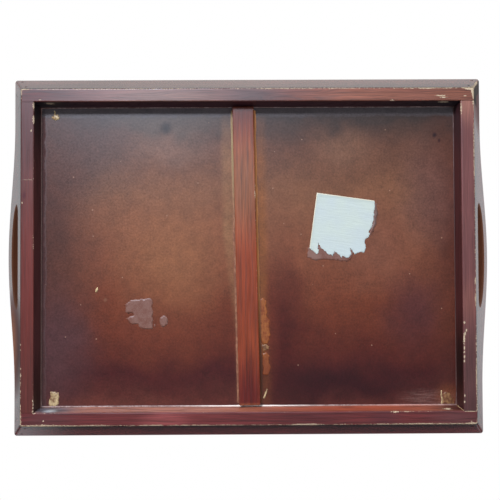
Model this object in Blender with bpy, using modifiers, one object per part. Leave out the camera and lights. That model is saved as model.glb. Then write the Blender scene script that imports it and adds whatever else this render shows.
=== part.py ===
"""Wooden serving tray: four flared boards round a bottom panel, with arched ends and hand holes.

Metres, +Z up, X along the length. The origin lies in the plane that the tray stands on, under its
middle. Each board is milled with a foot under the panel, so the panel is recessed from below.
"""

import math

import bmesh
import bpy

# Outline of the underside, and the boards that flare out from it
base_length = 0.432
base_depth = 0.320
wall_lean = math.radians(27.5)
board_thickness = 0.011
side_height = 0.037
arch_rise = 0.045
arch_half_width = 0.132

# Bottom panel, in a groove that runs round above the feet
recess_depth = 0.0145
foot_draft = 0.0023
panel_thickness = 0.004
groove_depth = 0.004

# Fits, and how far a cutter reaches past what it cuts
joint_gap = 0.0003
cut_overrun = 0.010

half_length = base_length / 2
half_depth = base_depth / 2
lean_run = math.tan(wall_lean)
board_run = board_thickness / math.cos(wall_lean)
panel_bottom = recess_depth + joint_gap
groove_top = panel_bottom + panel_thickness + joint_gap
groove_middle = (recess_depth + groove_top) / 2


def inner_face(height):
    """How far a board's inner face lies in from the base outline at this height."""
    return board_run - height * lean_run


def foot_face(height):
    """The same for the foot's inner face, which drafts inwards as it rises to the panel."""
    return board_run + foot_draft * height / recess_depth


groove_floor = inner_face(groove_middle) - groove_depth


def clear_scene():
    for thing in list(bpy.data.objects):
        bpy.data.objects.remove(thing, do_unlink=True)


def new_collection(name):
    made = bpy.data.collections.new(name)
    bpy.context.scene.collection.children.link(made)
    return made


clear_scene()
tray_pieces = new_collection("wooden_tray")
cutters = new_collection("cutters")


def finish(name, colour, roughness, metallic=0):
    made = bpy.data.materials.new(name)
    made.use_nodes = True
    shader = made.node_tree.nodes["Principled BSDF"]
    shader.inputs["Base Color"].default_value = (*colour, 1)
    shader.inputs["Roughness"].default_value = roughness
    shader.inputs["Metallic"].default_value = metallic
    made.diffuse_color = (*colour, 1)
    return made


stained_pine = finish("stained_pine", (0.15, 0.045, 0.035), 0.4)
stained_board = finish("stained_hardboard", (0.11, 0.036, 0.026), 0.45)
brad_steel = finish("brad_steel", (0.42, 0.41, 0.39), 0.4, 1)
label_paper = finish("label_paper", (0.66, 0.68, 0.66), 0.85)


def add_piece(name, data, material, parent, location=(0, 0, 0), rotation=(0, 0, 0)):
    made = bpy.data.objects.new(name, data)
    made.location = location
    made.rotation_euler = rotation
    made.parent = parent
    if not data.materials:
        data.materials.append(material)
    tray_pieces.objects.link(made)
    return made


def add_cutter(name, data, parent, location=(0, 0, 0), rotation=(0, 0, 0)):
    made = bpy.data.objects.new(name, data)
    made.location = location
    made.rotation_euler = rotation
    made.parent = parent
    made.hide_render = True
    made.display_type = "WIRE"
    cutters.objects.link(made)
    return made


def cut(piece, cutter):
    boolean = piece.modifiers.new(cutter.name, "BOOLEAN")
    boolean.operation = "DIFFERENCE"
    boolean.object = cutter


def loft(name, rings, eased_edges=()):
    """A closed skin through rings of as many points each, capped at both ends.

    eased_edges gives (corner, ring) pairs of two ends and the weight that their edge is rounded by.
    """
    shape = bmesh.new()
    rows = [[shape.verts.new(point) for point in ring] for ring in rings]
    for row, following in zip(rows, rows[1:]):
        for i, vertex in enumerate(row):
            after = (i + 1) % len(row)
            shape.faces.new((vertex, row[after], following[after], following[i]))
    shape.faces.new(rows[0])
    shape.faces.new(rows[-1])
    bmesh.ops.recalc_face_normals(shape, faces=shape.faces)
    weights = shape.edges.layers.float.new("bevel_weight_edge")
    for (corner, ring), (other_corner, other_ring), weight in eased_edges:
        edge = shape.edges.get((rows[ring][corner], rows[other_ring][other_corner]))
        edge[weights] = weight
    mesh = bpy.data.meshes.new(name)
    shape.to_mesh(mesh)
    shape.free()
    return mesh


def box(name, length, depth, height):
    shape = bmesh.new()
    bmesh.ops.create_cube(shape, size=1)
    bmesh.ops.scale(shape, vec=(length, depth, height), verts=shape.verts)
    mesh = bpy.data.meshes.new(name)
    shape.to_mesh(mesh)
    shape.free()
    return mesh


def round_all_edges(piece, width):
    bevel = piece.modifiers.new("eased_edges", "BEVEL")
    bevel.width = width
    bevel.segments = 2


# Walls: corners of a board's section, numbered round it from the outer edge of its foot
foot_outer, foot_inner, ledge_inner, ledge_root, rim_inner, rim_outer = range(6)

rim_ease = 0.0025
base_ease = 0.0009
corner_ease = 0.0022
ease_segments = 3


def board_section(height):
    """The section's corners as (in from the base outline, height), with the groove still to be cut."""
    return [
        (0, 0),
        (board_run, 0),
        (foot_face(groove_middle), groove_middle),
        (inner_face(groove_middle), groove_middle),
        (inner_face(height), height),
        (-height * lean_run, height),
    ]


def round_marked_edges(wall):
    bevel = wall.modifiers.new("eased_edges", "BEVEL")
    bevel.limit_method = "WEIGHT"
    bevel.width = rim_ease
    bevel.segments = ease_segments


def long_wall_mesh():
    """A long board whose ends are cut in the planes of the end boards' outer faces."""
    section = board_section(side_height)
    joint_width = board_run + joint_gap
    rings = []
    for side, inset in ((-1, 0), (-1, joint_width), (1, joint_width), (1, 0)):
        rings.append([(side * (half_length + up * lean_run - inset), inward, up) for inward, up in section])
    base_weight = base_ease / rim_ease
    corner_weight = corner_ease / rim_ease
    eased = [((rim_inner, 1), (rim_inner, 2), 1), ((foot_inner, 1), (foot_inner, 2), base_weight)]
    for ring in range(3):
        eased.append(((rim_outer, ring), (rim_outer, ring + 1), 1))
        eased.append(((foot_outer, ring), (foot_outer, ring + 1), base_weight))
    for ring in (0, 3):
        eased.append(((rim_inner, ring), (rim_outer, ring), 1))
        eased.append(((foot_outer, ring), (foot_inner, ring), base_weight))
        eased.append(((rim_outer, ring), (foot_outer, ring), corner_weight))
    return loft("long_wall", rings, eased)


# End walls: the rim rises in a smooth arch over the hand hole
arch_steps = 36


def rim_height(along):
    if abs(along) >= arch_half_width:
        return side_height
    return side_height + arch_rise * (1 + math.cos(math.pi * along / arch_half_width)) / 2


def end_wall_mesh():
    """An end board with its arch, longer than it ends up, before its ends are scribed."""
    end_reach = half_depth + side_height * lean_run
    stations = [arch_half_width * (2 * step / arch_steps - 1) for step in range(arch_steps + 1)]
    stations = [-end_reach, *stations, end_reach]
    rings = [[(along, inward, up) for inward, up in board_section(rim_height(along))] for along in stations]
    base_weight = base_ease / rim_ease
    eased = []
    for ring in range(len(rings) - 1):
        for corner in (rim_inner, rim_outer):
            eased.append(((corner, ring), (corner, ring + 1), 1))
        for corner in (foot_inner, foot_outer):
            eased.append(((corner, ring), (corner, ring + 1), base_weight))
    return loft("end_wall", rings, eased)


def scribe_mesh():
    """The long board's inner side with its groove filled, which the end boards' ends fit against."""
    top = side_height + cut_overrun
    ledge = groove_middle + joint_gap
    outside = -top * lean_run - cut_overrun
    section = [
        (outside, -cut_overrun),
        (foot_face(-cut_overrun) + joint_gap, -cut_overrun),
        (foot_face(ledge) + joint_gap, ledge),
        (inner_face(ledge) + joint_gap, ledge),
        (inner_face(top) + joint_gap, top),
        (outside, top),
    ]
    reach = half_length + top * lean_run + cut_overrun
    return loft("scribe", [[(side * reach, inward, up) for inward, up in section] for side in (-1, 1)])


# Hand hole: a half-moon cut square to the board, with both its edges rounded over
# Its heights are measured up the board's outer face
hole_half_length = 0.049
hole_bottom = 0.0202
hole_top = 0.063
hole_corner = 0.0067
hole_ease = 0.002
hole_lip = 0.0001
hole_arch_steps = 28
hole_corner_steps = 5
hole_ease_steps = 4


def hole_outline(grow):
    """(along, up the board) of the hole made this much larger all round, anticlockwise."""
    spring = hole_bottom + hole_corner
    reach = hole_half_length + grow
    rise = hole_top - spring + grow
    corner = hole_corner + grow
    corner_centre = hole_half_length - hole_corner
    points = []
    for step in range(hole_arch_steps + 1):
        angle = math.pi * step / hole_arch_steps
        points.append((reach * math.cos(angle), spring + rise * math.sin(angle)))
    for side, first in ((-1, math.pi), (1, 3 * math.pi / 2)):
        for step in range(hole_corner_steps + 1):
            angle = first + math.pi / 2 * step / hole_corner_steps
            points.append((side * corner_centre + corner * math.cos(angle), spring + corner * math.sin(angle)))
    del points[hole_arch_steps + 1], points[-1]
    return points


def hand_hole_mesh():
    """The cutter runs straight at the full width of the rounding until just outside each face."""
    depths = [(-cut_overrun, hole_ease), (-hole_lip, hole_ease)]
    for step in range(1, hole_ease_steps + 1):
        angle = math.pi / 2 * step / hole_ease_steps
        depths.append((hole_ease * (1 - math.cos(angle)), hole_ease * (1 - math.sin(angle))))
    depths += [(board_thickness - depth, grow) for depth, grow in reversed(depths)]
    return loft("hand_hole", [[(x, depth, up) for x, up in hole_outline(grow)] for depth, grow in depths])


# Brads: two at each corner, driven through the long board into the end board, heads set below the surface
brad_heights = (0.008, 0.028)
brad_length = 0.028
brad_radius = 0.0007
brad_head_radius = 0.0011
brad_head_height = 0.0006
brad_point = 0.0020
brad_set = 0.0012
brad_facets = 12
weld_reach = 0.00001


def turned(name, profile):
    """A mesh of one profile of (radius, height), with the turning left to a Screw modifier."""
    shape = bmesh.new()
    points = [shape.verts.new((radius, 0, height)) for radius, height in profile]
    for point, following in zip(points, points[1:]):
        shape.edges.new((point, following))
    mesh = bpy.data.meshes.new(name)
    shape.to_mesh(mesh)
    shape.free()
    return mesh


def turn(piece):
    screw = piece.modifiers.new("turned", "SCREW")
    screw.steps = brad_facets
    screw.render_steps = brad_facets
    screw.use_merge_vertices = True
    screw.merge_threshold = weld_reach
    return piece


def brad_profile(gap, above_head):
    shank = brad_radius + gap
    head = brad_head_radius + gap
    return [
        (0, above_head),
        (head, above_head),
        (head, -brad_head_height - gap),
        (shank, -brad_head_height - gap),
        (shank, brad_point - brad_length),
        (0, -brad_length - gap),
    ]


def add_brads(wall, wall_name, end_walls):
    """The brads of one long wall, with the holes that they stand in."""
    brad = turned("brad", brad_profile(0, 0))
    bore = turned("brad_bore", brad_profile(joint_gap, cut_overrun))
    for side, end_wall in zip((-1, 1), end_walls):
        for level, height in zip(("lower", "upper"), brad_heights):
            along = side * (half_length + height * lean_run - board_run / 2)
            place = (along, brad_set - height * lean_run, height)
            pointing_in = (math.pi / 2, 0, 0)
            name = f"{end_wall.name.split('_')[0]}_{wall_name}_{level}_brad"
            turn(add_piece(name, brad, brad_steel, wall, place, pointing_in))
            hole = turn(add_cutter(f"{name}_bore", bore, wall, place, pointing_in))
            cut(wall, hole)
            cut(end_wall, hole)


# Bottom panel and the batten glued across it
panel_ease = 0.0003
batten_width = 0.0205
batten_thickness = 0.0055
batten_offset = -0.0019
batten_skew = math.radians(1.1)
batten_short = 0.0017
batten_ease = 0.0008


def add_panel(tray):
    length = 2 * (half_length - groove_floor - joint_gap)
    depth = 2 * (half_depth - groove_floor - joint_gap)
    centre = (0, 0, panel_bottom + panel_thickness / 2)
    panel = add_piece("base_panel", box("base_panel", length, depth, panel_thickness), stained_board, tray, centre)
    round_all_edges(panel, panel_ease)


def add_panel_pocket(tray):
    length = 2 * (half_length - groove_floor)
    depth = 2 * (half_depth - groove_floor)
    pocket = box("panel_pocket", length, depth, groove_top - recess_depth)
    return add_cutter("panel_pocket", pocket, tray, (0, 0, groove_middle))


def add_batten(tray):
    """The batten spans the recess, a little askew, and stops short of the back wall."""
    corner_swing = batten_width / 2 * math.tan(batten_skew)
    wall_foot = foot_face(recess_depth)
    front_end = wall_foot + joint_gap + corner_swing - half_depth
    back_end = half_depth - wall_foot - batten_short - corner_swing
    length = (back_end - front_end) / math.cos(batten_skew)
    centre = (batten_offset, (front_end + back_end) / 2, panel_bottom - joint_gap - batten_thickness / 2)
    mesh = box("cross_batten", batten_width, length, batten_thickness)
    batten = add_piece("cross_batten", mesh, stained_pine, tray, centre, (0, 0, -batten_skew))
    round_all_edges(batten, batten_ease)


# Torn paper label stuck to the underside of the panel: two cut edges, and the rest torn
label_width = 0.058
label_height = 0.059
label_thickness = 0.0002
label_corner_x = 0.0673
label_corner_y = -0.0614
label_turn = math.radians(8)
label_outline_shares = [
    (0, 0),
    (0.97, 0),
    (1, 0.23),
    (0.95, 0.52),
    (0.91, 0.65),
    (0.92, 0.79),
    (0.89, 0.88),
    (0.76, 0.93),
    (0.68, 0.86),
    (0.69, 0.96),
    (0.62, 1),
    (0.53, 0.99),
    (0.42, 0.94),
    (0.40, 0.98),
    (0.33, 0.97),
    (0.22, 0.91),
    (0.12, 0.81),
    (0.14, 0.94),
    (0.11, 1),
    (0, 0.91),
]


def add_label(tray):
    """A flat outline with its first corner at the object's origin."""
    outline = bpy.data.curves.new("label_remnant", "CURVE")
    outline.dimensions = "2D"
    outline.fill_mode = "BOTH"
    outline.extrude = label_thickness / 2
    spline = outline.splines.new("POLY")
    spline.points.add(len(label_outline_shares) - 1)
    for point, (across, down) in zip(spline.points, label_outline_shares):
        point.co = (across * label_width, down * label_height, 0, 1)
    spline.use_cyclic_u = True
    height = panel_bottom - joint_gap - label_thickness / 2
    place = (label_corner_x, label_corner_y, height)
    add_piece("label_remnant", outline, label_paper, tray, place, (0, 0, label_turn))


def add_walls(tray):
    long_mesh = long_wall_mesh()
    end_mesh = end_wall_mesh()
    scribe = scribe_mesh()
    hole = hand_hole_mesh()
    pocket = add_panel_pocket(tray)
    front = add_piece("front_wall", long_mesh, stained_pine, tray, (0, -half_depth, 0))
    back = add_piece("back_wall", long_mesh, stained_pine, tray, (0, half_depth, 0), (0, 0, math.pi))
    left = add_piece("left_end_wall", end_mesh, stained_pine, tray, (-half_length, 0, 0), (0, 0, -math.pi / 2))
    right = add_piece("right_end_wall", end_mesh, stained_pine, tray, (half_length, 0, 0), (0, 0, math.pi / 2))
    for wall in (front, back, left, right):
        round_marked_edges(wall)
        cut(wall, pocket)
    scribes = [add_cutter(f"{wall.name}_scribe", scribe, wall) for wall in (front, back)]
    for wall in (left, right):
        cut(wall, add_cutter(f"{wall.name}_hand_hole", hole, wall, rotation=(wall_lean, 0, 0)))
        for side in scribes:
            cut(wall, side)
    add_brads(front, "front", (left, right))
    add_brads(back, "back", (right, left))


def main():
    tray = bpy.data.objects.new("tray", None)
    tray_pieces.objects.link(tray)
    add_walls(tray)
    add_panel(tray)
    add_batten(tray)
    add_label(tray)


main()
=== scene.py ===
"""Looks of the stained wooden serving tray, photographed from below.

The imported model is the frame. Boards, panel, batten and brads keep their solids and get procedural
finishes here. The paper, glue and adhesive left on the underside are thin pieces made in mesh code.
"""
import math
import random

import bpy
from mathutils import Matrix, Vector, geometry, noise


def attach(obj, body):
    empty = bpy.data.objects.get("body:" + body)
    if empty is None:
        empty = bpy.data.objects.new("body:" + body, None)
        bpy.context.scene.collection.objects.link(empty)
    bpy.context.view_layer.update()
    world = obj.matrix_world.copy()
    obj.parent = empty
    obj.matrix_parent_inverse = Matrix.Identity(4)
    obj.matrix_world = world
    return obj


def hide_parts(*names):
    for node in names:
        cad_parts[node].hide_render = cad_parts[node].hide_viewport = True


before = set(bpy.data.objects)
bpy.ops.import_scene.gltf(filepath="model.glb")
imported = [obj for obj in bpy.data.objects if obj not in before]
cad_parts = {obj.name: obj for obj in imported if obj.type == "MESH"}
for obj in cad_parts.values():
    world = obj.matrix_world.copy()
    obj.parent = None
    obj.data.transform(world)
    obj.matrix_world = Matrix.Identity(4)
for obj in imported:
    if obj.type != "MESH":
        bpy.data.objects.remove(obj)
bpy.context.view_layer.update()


# Camera: under the tray and looking up, the top of the picture towards the front board.
# Its place, its small tilts and its lens were fitted to the corners of the boards and the rim.
mm = 0.001
camera_place = Vector((-0.86, 6.31, -593.06)) * mm
tilt_across = 0.00416
tilt_along = 0.01993
turn_about_view = 0.00453
camera_lens = 45.0

camera = bpy.data.objects.new("camera", bpy.data.cameras.new("camera"))
camera.data.lens = camera_lens
camera.data.sensor_width = 36.0
camera.data.clip_start = 10 * mm
camera.matrix_world = (
    Matrix.Translation(camera_place)
    @ Matrix.Rotation(tilt_across, 4, "Y")
    @ Matrix.Rotation(tilt_along, 4, "X")
    @ Matrix.Rotation(turn_about_view, 4, "Z")
    @ Matrix.Rotation(math.pi, 4, "X")
)
bpy.context.scene.collection.objects.link(camera)
bpy.context.scene.camera = camera
bpy.context.scene.view_settings.view_transform = "Standard"


# World: white to the camera, and a plain grey studio to everything else: pale walls and ceiling, a
# bright window side in front, a dim side behind with a light panel at each end, and a darker side
# below, where the camera stands. The lacquer of the leaning outer faces mirrors its walls.
def srgb(text):
    """A colour written as sRGB hex, as the linear values that shaders take."""
    values = [int(text[i:i + 2], 16) / 255 for i in (0, 2, 4)]
    return (*[v / 12.92 if v <= 0.04045 else ((v + 0.055) / 1.055) ** 2.4 for v in values], 1.0)


def nodes_of(tree):
    """A function that adds one node to the tree: its kind, then what goes into its sockets in order.

    into names further sockets, stops fills a colour ramp, out picks the socket that is given back.
    """
    def add(kind, *values, into=None, out=0, stops=(), **settings):
        made = tree.nodes.new("ShaderNode" + kind)
        for name, value in settings.items():
            setattr(made, name, value)
        for place, (position, colour) in enumerate(stops):
            elements = made.color_ramp.elements
            stop = elements[place] if place < 2 else elements.new(position)
            stop.position = position
            stop.color = colour if not isinstance(colour, (int, float)) else (colour, colour, colour, 1)
        for key, value in [*enumerate(values), *(into or {}).items()]:
            if isinstance(value, bpy.types.NodeSocket):
                tree.links.new(value, made.inputs[key])
            elif value is not None:
                made.inputs[key].default_value = value
        return made.outputs[out] if len(made.outputs) else made
    return add


# Settings that many nodes share: a mix of two colours, and a soft start and end
colours = {"data_type": "RGBA", "out": 2}
smoothly = {"interpolation_type": "SMOOTHSTEP"}


def share_of_reach(add, point, middle, reach):
    """How far a point lies from a middle, where 1 is the reach, which differs by direction."""
    off = add("VectorMath", point, middle, operation="SUBTRACT")
    off = add("VectorMath", off, [1 / r for r in reach], operation="MULTIPLY")
    return add("VectorMath", off, operation="LENGTH", out="Value")


def clouded(add, ground, point, clouds):
    """Soft clouds of colour over the ground: each has its middle, its reach, a colour and a strength."""
    for middle, reach, colour, strength in clouds:
        off = share_of_reach(add, point, middle, reach)
        amount = add("MapRange", off, 1.0, 0.1, 0, strength, **smoothly)
        ground = add("Mix", into={0: amount, 6: ground, 7: srgb(colour)}, **colours)
    return ground


world = bpy.data.worlds.new("studio")
bpy.context.scene.world = world
world.use_nodes = True
world.node_tree.nodes.clear()
add = nodes_of(world.node_tree)
direction = add("TexCoord", out="Generated")
towards_y = add("SeparateXYZ", direction, out="Y")
towards_z = add("SeparateXYZ", direction, out="Z")
window = ((0.0, -0.63, 0.78), (0.5, 0.4, 0.5), "f8f4f2", 1.0)
light_panels = [((-0.37, 0.59, 0.72), (0.122, 0.2, 0.4), "dfe2e8", 1.0),
                ((0.41, 0.59, 0.70), (0.09, 0.2, 0.4), "b4b8be", 0.9)]
room = clouded(add, srgb("d8dde0"), direction, [window])
behind = add("MapRange", towards_y, 0.1, 0.5, 0, 1, **smoothly)
room = add("Mix", into={0: behind, 6: room, 7: srgb("4c4c50")}, **colours)
room = clouded(add, room, direction, light_panels)
below = add("MapRange", towards_z, -0.15, -0.75, 0, 1, **smoothly)
room = add("Mix", into={0: below, 6: room, 7: srgb("7f8283")}, **colours)
seen = add("LightPath", out="Is Camera Ray")
room = add("Mix", into={0: seen, 6: room, 7: srgb("ffffff")}, **colours)
add("OutputWorld", add("Background", room, 1.0))


# Lamps: a large soft box below on the front left lights the underside at a slant, with a weak fill
# behind it. A cooler lamp near the first only shows in the lacquer, as the sheen that fades down the
# photograph. Two above light the inside of the tray for the other views.
def lamp(name, place, aim, size, watts, colour="ffffff"):
    """A round soft lamp that points at a place."""
    light = bpy.data.lights.new(name, "AREA")
    light.shape = "DISK"
    light.size = size
    light.energy = watts
    light.color = srgb(colour)[:3]
    made = bpy.data.objects.new(name, light)
    made.location = place
    made.rotation_euler = (Vector(aim) - Vector(place)).to_track_quat("-Z", "Y").to_euler()
    bpy.context.scene.collection.objects.link(made)
    return made


lamp("soft_box_below", (-1.08, -1.83, -2.2), (0, 0, 0), 1.0, 96, "fffaf4").visible_glossy = False
lamp("sheen_below", (-0.62, -1.62, -2.2), (0, 0, 0), 0.5, 142, "e2e9fc").visible_diffuse = False
lamp("fill_below", (0.5, 0.3, -2.2), (0, 0, 0), 1.5, 9).visible_glossy = False
lamp("soft_box_above", (0.35, -0.45, 1.7), (0, 0, 0), 0.9, 24)
lamp("fill_above", (-0.5, 0.35, 1.8), (0, 0, 0), 1.2, 12)


# Floor: a plain pale surface that fades out into the white far from the tray. It is see-through from
# below, because the photograph's camera looks up through it, and open under the tray, so that the
# lamps below light the underside and nothing else. It lies a hair below the feet.
floor_reach = 6.0
floor_level = -0.2 * mm
opening_half_length = 216 * mm
opening_half_depth = 160 * mm
floor_fades_from = 0.7
floor_gone_at = 2.2


def new_material(name):
    """An empty material, and the function that adds its nodes."""
    material = bpy.data.materials.new(name)
    material.use_nodes = True
    material.node_tree.nodes.clear()
    return material, nodes_of(material.node_tree)


def mesh_object(name, points, faces, material):
    """A mesh that stands in the scene, from its points in metres."""
    mesh = bpy.data.meshes.new(name)
    mesh.from_pydata(points, [], faces)
    mesh.materials.append(material)
    made = bpy.data.objects.new(name, mesh)
    bpy.context.scene.collection.objects.link(made)
    return made


pale_floor, add = new_material("pale_floor")
floor_shade = add("BsdfPrincipled", srgb("e6e4e0"), into={"Roughness": 0.6})
clear = add("BsdfTransparent", (1, 1, 1, 1))
from_below = add("NewGeometry", out="Backfacing")
from_middle = add("VectorMath", add("TexCoord", out="Object"), operation="LENGTH", out="Value")
far_off = add("MapRange", from_middle, floor_fades_from, floor_gone_at, 0, 1, **smoothly)
see_through = add("Math", from_below, far_off, operation="MAXIMUM")
add("OutputMaterial", add("MixShader", see_through, floor_shade, clear))
floor_outline = (floor_reach, floor_reach)
floor_opening = (opening_half_length, opening_half_depth)
floor_corners = [(x * half_x, y * half_y, floor_level)
                 for half_x, half_y in (floor_outline, floor_opening)
                 for x, y in ((-1, -1), (1, -1), (1, 1), (-1, 1))]
floor_sides = [(i, (i + 1) % 4, 4 + (i + 1) % 4, 4 + i) for i in range(4)]
floor = mesh_object("floor", floor_corners, floor_sides, pale_floor)


# Boards: pine, stained red-brown and lacquered. Each is a CAD solid with its own grain direction.
# Where hands and tables rub the arrises the stain is thin, and in places bare wood shows.
wall_lean = math.radians(27.5)
board_thickness = 11
board_run = board_thickness / math.cos(wall_lean)
foot_half_length = 216
foot_half_depth = 160
rim_level = 37
arch_rise = 45
arch_half_width = 132
hole_half_length = 49
hole_bottom = 20.2
hole_top = 63
hole_corner = 6.7
hole_mean_radius = 40.0

satin_roughness = (0.34, 0.42)
outer_roughness = (0.21, 0.27)
dull_roughness = 0.75
cut_roughness = 0.85
bare_pine = srgb("c8b8a0")
thin_stain = srgb("8a5c50")
end_grain = srgb("2a1613")
hole_brown = srgb("643820")


def position_mm(add):
    """The row frame's position in millimetres, as a vector and as its three parts."""
    per_metre = (1 / mm, 1 / mm, 1 / mm)
    point = add("VectorMath", add("TexCoord", out="Object"), per_metre, operation="MULTIPLY")
    return point, [add("SeparateXYZ", point, out=axis) for axis in "XYZ"]


def apart(add, a, b):
    """The distance from an edge, from the distances a and b to the two faces that meet there."""
    return add("VectorMath", add("CombineXYZ", a, b, 0), operation="LENGTH", out="Value")


def past_outline(add, distance, half, z):
    """How far a point lies outside the leaning outer face, from its distance to the tray's middle."""
    out = add("Math", add("Math", distance, operation="ABSOLUTE"), half, operation="SUBTRACT")
    leaning = add("Math", z, math.tan(wall_lean), operation="MULTIPLY")
    return out, add("Math", out, leaning, operation="SUBTRACT")


def stretched_noise(add, point, stretch, detail, roughness=0.5):
    """Noise that is drawn out along the directions where the stretch is small."""
    return add("TexNoise", add("VectorMath", point, stretch, operation="MULTIPLY"),
               into={"Scale": 1.0, "Detail": detail, "Roughness": roughness})


def shaded(add, colour, shade):
    """A colour made darker or lighter by a shade, where 1 leaves it as it is."""
    grey = add("CombineColor", shade, shade, shade)
    return add("Mix", into={0: 1.0, 6: colour, 7: grey}, blend_type="MULTIPLY", **colours)


def bumpy_surface(add, colour, roughness, height, strength, depth):
    """What a material ends in: its colour and roughness, and a bump of that depth in millimetres."""
    bumped = add("Bump", into={"Strength": strength, "Distance": depth * mm, "Height": height},
                 out="Normal")
    add("OutputMaterial", add("BsdfPrincipled", colour, into={"Roughness": roughness, "Normal": bumped}))


def stained_pine(name, along, seed, dark, light, clouds, arris_distance, wear_places, chips_off=(),
                 recess=None, dull=(), ring=2.3, lines=0.28, fibres=0.2, wave=14.0,
                 end_face=None, hole=None):
    """Pine under red-brown stain and satin lacquer: its rings and fibres show through a soft sheen.

    Growth rings run round a pith line outside the board, and fibres run along it. arris_distance
    gives the distance to the nearest edge that wears. wear_places widen the wear: place, size and
    strength. chips_off holds single chips: place and reach. recess holds the colour inside the foot:
    a colour and clouds, which are painted light and shade, paler where light falls into the recess
    and darker where it lies in shade. The leaning outer faces have a smoother lacquer, except in
    the dull places: middle and reach. end_face and hole tell where a sawn end and a cut face are.
    """
    material, add = new_material(name)
    point, (x, y, z) = position_mm(add)
    run, cross = (x, y) if along == "X" else (y, x)
    moved = add("CombineXYZ", run, cross, z)
    moved = add("VectorMath", moved, (seed * 137.0, seed * 31.0, seed * 17.0))
    sway = stretched_noise(add, moved, (0.009, 0.05, 0.05), 2.0)
    pith = (0, 34.0 + seed * 3, -52.0)
    from_pith = add("VectorMath", add("CombineXYZ", 0, cross, z), pith, operation="SUBTRACT")
    radius = add("VectorMath", from_pith, operation="LENGTH", out="Value")
    radius = add("Math", add("Math", sway, wave, operation="MULTIPLY"), radius)
    ring_share = add("Math", add("Math", radius, ring, operation="DIVIDE"), operation="FRACT")
    late = add("ValToRGB", ring_share, stops=[(0.0, 0.15), (0.55, 0.0), (0.86, 1.0), (1.0, 0.15)])
    fibre = stretched_noise(add, moved, (0.035, 0.95, 0.95), 4.0, 0.65)
    streak = stretched_noise(add, moved, (0.011, 0.42, 0.42), 4.0, 0.7)
    cloud = add("MapRange", stretched_noise(add, moved, (0.010, 0.03, 0.03), 3.0), 0.35, 0.65, 0, 1)
    stain = add("Mix", into={0: cloud, 6: dark, 7: light}, **colours)
    stain = clouded(add, stain, point, clouds)
    out_x, past_x = past_outline(add, x, foot_half_length, z)
    out_y, past_y = past_outline(add, y, foot_half_depth, z)
    if recess:
        past_foot = add("Math", out_x, out_y, operation="MAXIMUM")
        in_recess = add("MapRange", past_foot, -board_run, -board_run - 0.25, 0, 1)
        # Inside the recess the colour is painted light and shade.
        painted_shading = clouded(add, srgb(recess[0]), point, recess[1])
        stain = add("Mix", into={0: in_recess, 6: stain, 7: painted_shading}, **colours)
    outside = add("Math", past_x, past_y, operation="MAXIMUM")
    on_outer = add("Math", add("MapRange", outside, -0.7, -0.3, 0, 1),
                   add("MapRange", z, 0.1, 0.4, 0, 1), operation="MULTIPLY")
    shade = add("Math", add("Math", late, -lines, operation="MULTIPLY"), 1.0 + lines / 4)
    shade = add("Math", shade, add("MapRange", fibre, 0.3, 0.7, -fibres, fibres))
    shade = add("Math", shade, add("MapRange", streak, 0.3, 0.7, -lines, lines))
    stain = shaded(add, stain, shade)
    blackened_end = 0.0
    if end_face:
        blackened_end = end_face(add, x, y, z)
        stain = add("Mix", into={0: blackened_end, 6: stain, 7: end_grain}, **colours)
    if hole:
        cut_face = hole(add, x, y, z)
        stain = add("Mix", into={0: cut_face, 6: stain, 7: hole_brown}, **colours)
    distance = arris_distance(add, x, y, z)
    patchy = add("TexNoise", point, into={"Scale": 0.045, "Detail": 2.0})
    chips = add("TexNoise", point, into={"Scale": 0.8, "Detail": 2.0, "Roughness": 0.6})
    reach = add("MapRange", patchy, 0.35, 0.65, -0.45, 0.0)
    for place, size, strength in wear_places:
        gap = add("VectorMath", point, place, operation="DISTANCE", out="Value")
        reach = add("Math", reach, add("MapRange", gap, size, size * 0.3, 0, strength))
    reach = add("Math", reach, add("MapRange", chips, 0.3, 0.7, -0.8, 0.8))
    past = add("Math", reach, distance, operation="SUBTRACT")
    bare = add("MapRange", past, 0.0, 0.2, 0, 0.9)
    for place, size in chips_off:
        gap = share_of_reach(add, point, place, size)
        gap = add("Math", gap, add("MapRange", chips, 0.3, 0.7, -0.5, 0.5))
        bare = add("Math", bare, add("MapRange", gap, 1.05, 0.85, 0, 0.9), operation="MAXIMUM")
    rubbed = add("MapRange", past, -0.5, 0.0, 0, 0.4)
    colour = add("Mix", into={0: rubbed, 6: stain, 7: thin_stain}, **colours)
    colour = add("Mix", into={0: bare, 6: colour, 7: bare_pine}, **colours)
    gloss = add("Math", late, 0.10, operation="MULTIPLY")
    gloss = add("Math", add("MapRange", fibre, 0.3, 0.7, *satin_roughness), gloss)
    outer_gloss = add("MapRange", fibre, 0.3, 0.7, *outer_roughness)
    gloss = add("Mix", into={0: on_outer, 2: gloss, 3: outer_gloss})
    for middle, size in dull:
        worn_off = add("MapRange", share_of_reach(add, point, middle, size), 1.0, 0.5, 0, 1)
        worn_off = add("Math", worn_off, on_outer, operation="MULTIPLY")
        gloss = add("Mix", into={0: worn_off, 2: gloss, 3: dull_roughness})
    unlacquered = add("Math", bare, blackened_end, operation="MAXIMUM")
    gloss = add("Mix", into={0: unlacquered, 2: gloss, 3: dull_roughness})
    if hole:
        gloss = add("Mix", into={0: cut_face, 2: gloss, 3: cut_roughness})
    height = add("Math", late, 0.25, operation="MULTIPLY")
    for part, share in ((fibre, 0.5), (bare, -1.2)):
        height = add("Math", height, add("Math", part, share, operation="MULTIPLY"))
    bumpy_surface(add, colour, gloss, height, 0.35, 0.12)
    return material


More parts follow.
